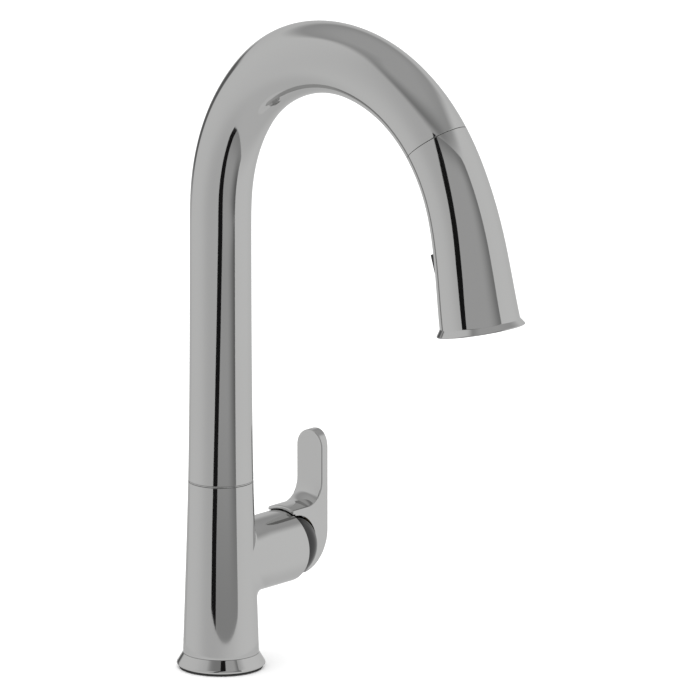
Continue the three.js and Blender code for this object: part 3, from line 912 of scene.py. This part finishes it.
def sliding_hose(first=472.0, last=482.5, rings=150):
    """Starts on the spout's centreline and ends on the line along which the head pulls."""
    radius = HOSE_RADIUS + 0.05
    lengths = np.linspace(first, last, rings)
    bm = bend(spun([(0, first)] + [(radius, float(l)) for l in lengths] + [(0, last)], 32))
    axis, origin = DOCK.to_3x3() @ Vector((0, 0, 1)), DOCK.to_translation()
    for vert in bm.verts:
        along = (vert.co - origin).dot(axis)
        share = float(ease((along / MM + 30) / 8))
        length = HEAD_SEAM + along / MM
        y, z, _ = centre(length)
        middle = Vector((0, y * MM, z * MM))
        on_axis = origin + axis * (middle - origin).dot(axis)
        vert.co += (on_axis - middle) * share
    return bm


sleeve = piece("sliding_hose", sliding_hose(), BRAID, None, "nylon_braid")
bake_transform(sleeve)

# %% [markdown]
# ## Under the deck
#
# What clamps the faucet hides below the deck, but it is made with the same care: a
# threaded shank, its nut and washers, and the copper-sized tails that the supply hoses
# screw onto.


# %% Shank, nut, washers and tails
def thread(radius, low, high, pitch=1.5, depth=0.45):
    points = []
    for k in range(int((high - low) / pitch)):
        at = low + k * pitch
        points += [(radius - depth, at + 0.1), (radius, at + pitch * 0.45), (radius, at + pitch * 0.6)]
    return points


shank = [(13.6, -62), (14.4, -62)] + thread(15.1, -61.4, -30) + [(15.1, -28), (15.1, 14), (13.6, 14)]
piece("mounting_shank_fine", spun(shank, 64), STEEL, "mount", "steel", "mounting_shank")


def ring(inner, outer, low, high, corner=0.4):
    return rounded([(inner, low, corner), (outer, low, corner), (outer, high, corner),
                    (inner, high, corner)])


piece("shank_washer_rubber_fine", spun(ring(15.6, 26, -38, -35)), RUBBER, "mount", "rubber",
      "shank_washer_rubber")
piece("shank_washer_steel_fine", spun(ring(15.6, 26, -40, -38.3, .2)), STEEL, "mount", "steel",
      "shank_washer_steel")
nut = combined(spun(ring(15.4, 24.5, -52, -41.5, .8)),
               [placed(cylinder(2.8, -53, -40, 32), Matrix.Translation((x * MM, 0, 0)))
                for x in (20, -20)])
piece("mounting_nut_fine", nut, BRASS, "mount", "brass", "mounting_nut")
for name, x in (("nut_screw_1", 20), ("nut_screw_2", -20)):
    screw = [(0, -58), (4, -58, .5), (4, -54, .3), (2.4, -54)] + thread(2.4, -53.8, -41, 0.8, 0.25)
    made = placed(spun(rounded(screw + [(2.4, -40.6), (0, -40.3)]), 32),
                  Matrix.Translation((x * MM, 0, 0)))
    piece(name + "_fine", made, STEEL, "mount", "steel", name)
for name, y in (("hot_inlet_tube", 7.5), ("cold_inlet_tube", -7.5)):
    tail = [(1.9, -84)] + thread(5.2, -84, -73.2, 1.0, 0.3) + [(5.2, -72, .2), (3.5, -72, .1)]
    tail += [(3.5, 51.5, .2), (1.9, 51.5)]
    made = placed(spun(rounded(tail), 32), Matrix.Translation((6 * MM, y * MM, 0)))
    piece(name + "_fine", made, BRASS, "mount", "brass", name)

# %% [markdown]
# ## The other nodes
#
# Everything that has no finer piece keeps its own shape and gets its real finish, and
# its name in the record says which one.

# %% Finishes of the carried-over nodes
BY_SLOT = {"chrome": CHROME, "smoked_chrome": PAINTED_SHADE_CHROME, "brass": BRASS, "steel": STEEL,
           "black_plastic": BLACK, "white_plastic": WHITE, "rubber": RUBBER,
           "nylon_braid": BRAID, "magnet": MAGNET}
for part in frame["record"]["subparts"]:
    shown = nodes[part["node"]]
    shown.data.materials.clear()
    shown.data.materials.append(BY_SLOT[part["material_slot"]])
print("nodes left as they are:", sum(not n.hide_render for n in nodes.values()))

# %% [markdown]
# ## Studio
#
# Polished chrome is best shown inside a pale tent with one grey board near it, whose
# left edge is taped black. The board gives the long soft band and the crisp dark line
# that show how round the tube is. It could be a light panel, but a card that glows has an
# exact edge. It is only there for reflections: the camera and the floor don't see it.

# %% Floor
def disc(radius, height, sides):
    bm = bmesh.new()
    bmesh.ops.create_circle(bm, cap_ends=True, segments=sides, radius=radius)
    bmesh.ops.translate(bm, vec=(0, 0, height), verts=bm.verts)
    return bm


FLOOR_RADIUS = 6
floor = mesh_object("floor", disc(FLOOR_RADIUS, 0, 64))
floor.data.materials.append(Finish("studio_floor", (0.93, 0.93, 0.93), 0.9).material)
floor.visible_glossy = False
print("floor:", 2 * FLOOR_RADIUS, "m across")

# %% Grey board with its black edge
BOARD_REACH = 0.260
BOARD_TURN = CAMERA_TURN + math.radians(15)
# Heights, then the board's left edge and the end of the black tape, along the board.
BOARD_EDGE = [(-28, -262, -154), (20, -249, -147), (80, -193, -110), (140, -146, -68),
              (200, -111, -34), (260, -88, 0), (320, -40, 16), (380, 7, 42), (432, 34, 54)]
BOARD_RIGHT = 210
BOARD_CORNER = 16


def glow(name):
    made = bpy.data.materials.new(name)
    made.use_nodes = True
    made.node_tree.nodes.clear()
    output = made.node_tree.nodes.new("ShaderNodeOutputMaterial")
    emit = made.node_tree.nodes.new("ShaderNodeEmission")
    made.node_tree.links.new(emit.outputs[0], output.inputs[0])
    return made, made.node_tree, emit


def only_reflected(card, finish):
    """Gives a card its finish and hides it from everything but reflections."""
    card.data.materials.append(finish)
    card.visible_camera = card.visible_diffuse = card.visible_shadow = False


def board(name, outline, finish):
    """A flat card on the board's plane from (along, height) points in mm."""
    across = Vector((math.cos(BOARD_TURN), math.sin(BOARD_TURN), 0))
    ahead = Vector((math.sin(BOARD_TURN), -math.cos(BOARD_TURN), 0)) * BOARD_REACH
    bm = bmesh.new()
    verts = [bm.verts.new(ahead + across * a * MM + Vector((0, 0, z * MM))) for a, z in outline]
    face = bm.faces.new(verts)
    uv = bm.loops.layers.uv.new("UVMap")
    for loop, (a, z) in zip(face.loops, outline):
        loop[uv].uv = (a * MM, z * MM)
    only_reflected(mesh_object(name, bm), finish)


def round_corner(x, z, sx, sz, size=BOARD_CORNER, steps=6):
    """Points round a board's corner; sx and sz say which way the board lies from it."""
    hub = (x + sx * size, z + sz * size)
    angles = [math.pi / 2 * k / steps for k in range(steps + 1)]
    return [(hub[0] - sx * size * math.cos(t), hub[1] - sz * size * math.sin(t)) for t in angles]


black, _, black_glow = glow("black_tape")
black_glow.inputs["Color"].default_value = (0.011, 0.011, 0.011, 1)
grey, grey_tree, grey_glow = glow("grey_board")
tape = [(left, z) for z, left, _ in BOARD_EDGE] + [(right, z) for z, _, right in BOARD_EDGE[::-1]]
panel = [(right, z) for z, _, right in BOARD_EDGE[::-1]]
panel += round_corner(BOARD_RIGHT, BOARD_EDGE[0][0], -1, 1)[::-1]
panel += round_corner(BOARD_RIGHT, BOARD_EDGE[-1][0], -1, -1)
board("stage_tape", tape, black)
board("stage_board", panel, grey)
print("board corners:", len(panel), "tape corners:", len(tape))

# %% [markdown]
# On a worktop nothing below the deck would show in the chrome. The floor is left out of the
# reflections so that the board can reach below it, so a small pale disc under the base
# keeps the clamping parts out of them instead.

# %% Ground under the base
ground_finish, _, ground_glow = glow("pale_ground")
ground_glow.inputs["Color"].default_value = (0.68, 0.68, 0.68, 1)
only_reflected(mesh_object("stage_ground", disc(0.075, -0.0006, 48)), ground_finish)
print("ground disc under the base: 150 mm")

# %% [markdown]
# A card this near is never lit evenly. Its brightness falls towards its right edge, its
# top and its bottom, and that gradient is what makes the band on the tube look round. The
# numbers are distances in metres along the card, then the brightness on each side.


# %% Shading of the board
def chain(tree, kind, *inputs, **settings):
    """A node with its inputs linked or set; returns its first output."""
    made = tree.nodes.new(kind)
    for key, value in settings.items():
        setattr(made, key, value)
    for socket, value in zip(made.inputs, inputs):
        if isinstance(value, bpy.types.NodeSocket):
            tree.links.new(value, socket)
        elif value is not None:
            socket.default_value = value
    return made.outputs[0]


def step_up(tree, value, low, high):
    """0 below low, 1 above high, smooth between."""
    return chain(tree, "ShaderNodeMapRange", value, low, high, 0.0, 1.0,
                 interpolation_type="SMOOTHSTEP")


def mixed(tree, share, first, second):
    low = chain(tree, "ShaderNodeMath", 1.0, share, operation="SUBTRACT")
    low = chain(tree, "ShaderNodeMath", low, first, operation="MULTIPLY")
    return chain(tree, "ShaderNodeMath", share, second, low, operation="MULTIPLY_ADD")


uv_node = grey_tree.nodes.new("ShaderNodeTexCoord")
uv_split = grey_tree.nodes.new("ShaderNodeSeparateXYZ")
grey_tree.links.new(uv_node.outputs["UV"], uv_split.inputs[0])
across, height = uv_split.outputs[0], uv_split.outputs[1]
low_part = mixed(grey_tree, step_up(grey_tree, across, 0.03, 0.205), 0.43, 0.15)
high_part = mixed(grey_tree, step_up(grey_tree, across, 0.12, 0.205), 0.47, 0.24)
tone = mixed(grey_tree, step_up(grey_tree, height, 0.17, 0.22), low_part, high_part)
tone = mixed(grey_tree, step_up(grey_tree, height, 0.37, 0.44), tone, 0.25)
tone = mixed(grey_tree, step_up(grey_tree, height, 0.12, -0.03), tone, 0.31)
grey_tree.links.new(tone, grey_glow.inputs["Strength"])
print("nodes in the board's shading:", len(grey_tree.nodes))

# %% [markdown]
# The tent is a world shader. It could be an image of a room, but a few curves are lighter
# and are easy to change. The camera sees plain white. Reflections see light walls, a
# dimmer ceiling whose edge rises and falls round the room, a slightly dimmer ground, and a
# dark doorway far behind that gives the arch a dark outline on its left.

# %% Tent
CEILING_LIGHT, GROUND_LIGHT, FLOOR_LIGHT = 0.47, 0.62, 1.6
# Where the ceiling begins: turn from the camera in degrees, then height in degrees.
CEILING_EDGE = [(-180, 22), (-120, 38), (-75, 57), (-30, 40), (0, 38), (60, 38), (100, 41),
                (150, 26), (180, 22)]
# How bright the walls are, and the ceiling next to them, for each turn.
WALL_LIGHT = [(-180, .70), (-90, .70), (-30, .57), (30, .66), (75, .735), (180, .71)]
DOORWAY_TURN, DOORWAY_RISE, DOORWAY_LIGHT = -150, -3, 0.15
CEILING_NEAR = [(-180, .40), (-60, .36), (-20, .25), (10, .25), (60, .38), (180, .40)]
world = bpy.data.worlds.new("tent")
scene.world = world
world.use_nodes = True
tent = world.node_tree
background = tent.nodes["Background"]
# The turn and the rise of a ray, from its direction.
way = chain(tent, "ShaderNodeTexCoord")
split = tent.nodes.new("ShaderNodeSeparateXYZ")
tent.links.new(way, split.inputs[0])
minus_y = chain(tent, "ShaderNodeMath", split.outputs[1], -1.0, operation="MULTIPLY")
turn = chain(tent, "ShaderNodeMath", split.outputs[0], minus_y, operation="ARCTAN2")
turn = chain(tent, "ShaderNodeMath", turn, -CAMERA_TURN, operation="ADD")
turn = chain(tent, "ShaderNodeMath", turn, math.pi, -math.pi, operation="WRAP")
rise = chain(tent, "ShaderNodeMath", split.outputs[2], operation="ARCSINE")
rise = chain(tent, "ShaderNodeMath", rise, 180 / math.pi, operation="MULTIPLY")
share = chain(tent, "ShaderNodeMath", turn, 1 / (2 * math.pi), 0.5, operation="MULTIPLY_ADD")


def round_the_room(points, top=1.0):
    """A curve over the turn, given as (degrees, value) points; top is the largest value."""
    node = tent.nodes.new("ShaderNodeFloatCurve")
    curve = node.mapping.curves[0]
    for i, (at, value) in enumerate(points):
        place = ((at + 180) / 360, value / top)
        if 0 < i < len(points) - 1:
            curve.points.new(*place)
        else:
            curve.points[0 if i == 0 else -1].location = place
    node.mapping.update()
    tent.links.new(share, node.inputs["Value"])
    return node.outputs[0]


edge = round_the_room(CEILING_EDGE, 90)
over = chain(tent, "ShaderNodeMath", edge, -90.0, rise, operation="MULTIPLY_ADD")
ceiling = mixed(tent, step_up(tent, over, 4.0, 32.0), round_the_room(CEILING_NEAR), CEILING_LIGHT)
light = mixed(tent, step_up(tent, over, -6.0, 9.0), round_the_room(WALL_LIGHT), ceiling)


def apart(value, middle):
    """How far a value is from the middle."""
    gap = chain(tent, "ShaderNodeMath", value, middle, operation="SUBTRACT")
    return chain(tent, "ShaderNodeMath", gap, operation="ABSOLUTE")


aside = step_up(tent, apart(turn, math.radians(DOORWAY_TURN)), 0.25, 0.15)
level = step_up(tent, apart(rise, DOORWAY_RISE), 12.0, 6.0)
doorway = chain(tent, "ShaderNodeMath", aside, level, operation="MULTIPLY")
light = mixed(tent, doorway, light, DOORWAY_LIGHT)
light = mixed(tent, step_up(tent, rise, -30.0, -60.0), light, GROUND_LIGHT)
path = tent.nodes.new("ShaderNodeLightPath")
light = mixed(tent, path.outputs["Is Diffuse Ray"], light, FLOOR_LIGHT)
light = mixed(tent, path.outputs["Is Camera Ray"], light, 1.0)
tent.links.new(light, background.inputs["Strength"])
background.inputs["Color"].default_value = (1, 1, 1, 1)
scene.view_settings.view_transform = "Standard"
print("nodes in the tent:", len(tent.nodes))
